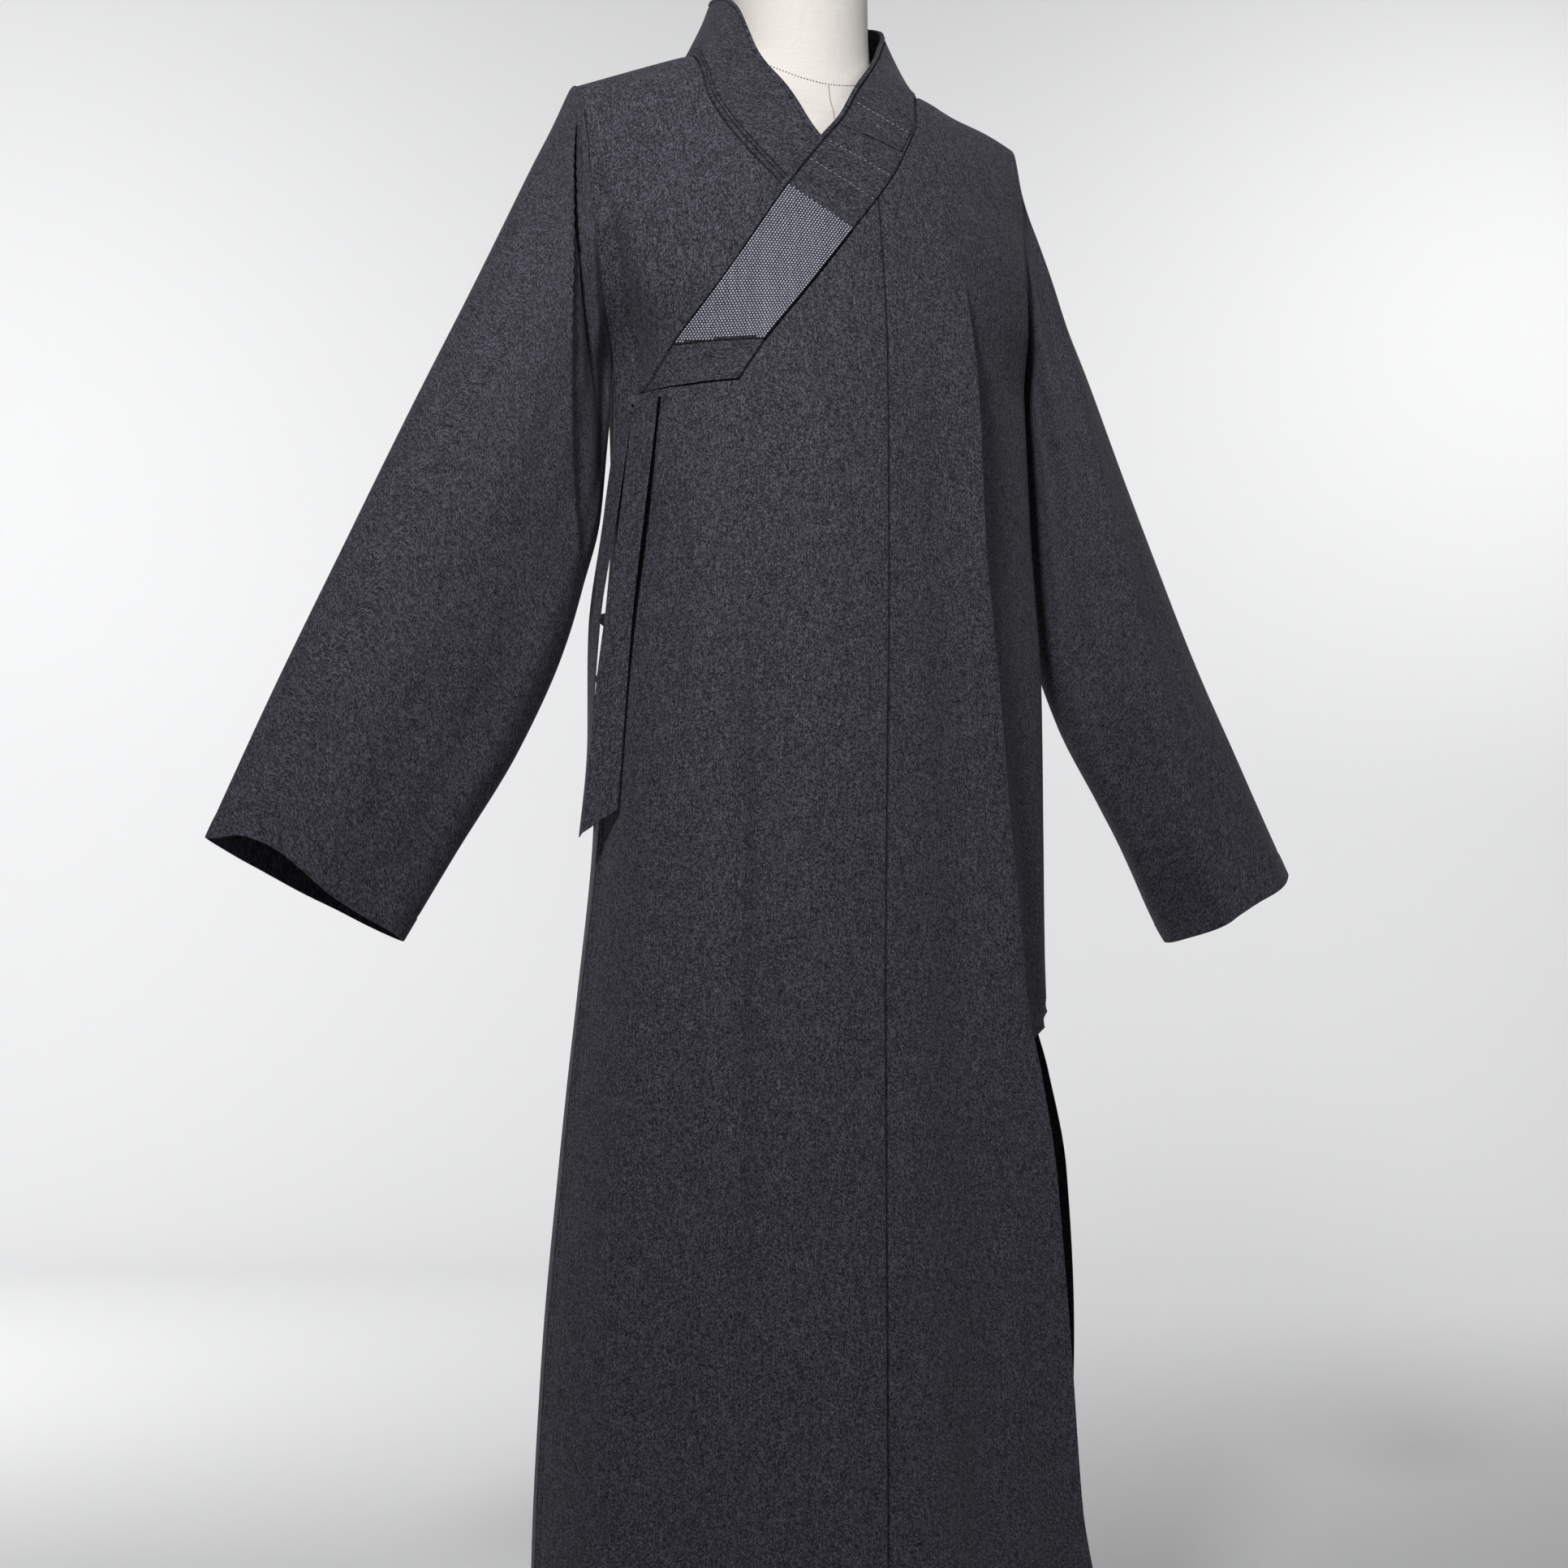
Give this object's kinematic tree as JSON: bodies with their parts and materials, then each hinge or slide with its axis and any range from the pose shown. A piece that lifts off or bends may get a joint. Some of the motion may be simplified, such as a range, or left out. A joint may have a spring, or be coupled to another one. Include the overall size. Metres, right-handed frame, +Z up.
{
  "type": "monk robe on a dress form",
  "caption": "Full-length crossover robe with wide sleeves, banded collar, quilted patch and side ties, standing on a limbless dress form with a pole and round base.",
  "frame": {"origin": "centre of the base's underside, on the floor", "axes": "+Z up, -Y the way the robe's front faces, -X the wearer's right side, where the robe closes"},
  "size_m": [0.9891, 0.3221, 1.5299],
  "materials": {
    "suiting": "matte charcoal-grey wool-look suiting with fine vertical flecks",
    "quilting": "charcoal suiting covered by rows of staggered white running stitches",
    "linen": "matte cream linen drawn tight over the form",
    "knot_black": "tightly knotted black cotton cord",
    "stand_steel": "brushed steel tube",
    "stand_iron": "black coated cast iron"
  },
  "bodies": {
    "root": {"left_front": "suiting", "outer_overlap": "suiting", "right_front": "suiting", "back_right": "suiting", "back_left": "suiting", "right_sleeve": "suiting", "left_sleeve": "suiting", "over_collar": "suiting", "under_collar": "suiting", "collar_tab_upper": "suiting", "collar_tab_lower": "suiting", "quilted_patch": "quilting", "tie_front": "suiting", "tie_back": "suiting", "knot_closing": "knot_black", "loop_closing": "knot_black", "knot_side_upper": "knot_black", "loop_side_upper": "knot_black", "knot_side_lower": "knot_black", "loop_side_lower": "knot_black", "form_torso": "linen", "form_pole": "stand_steel", "form_base": "stand_iron"}
  },
  "joints": []
}
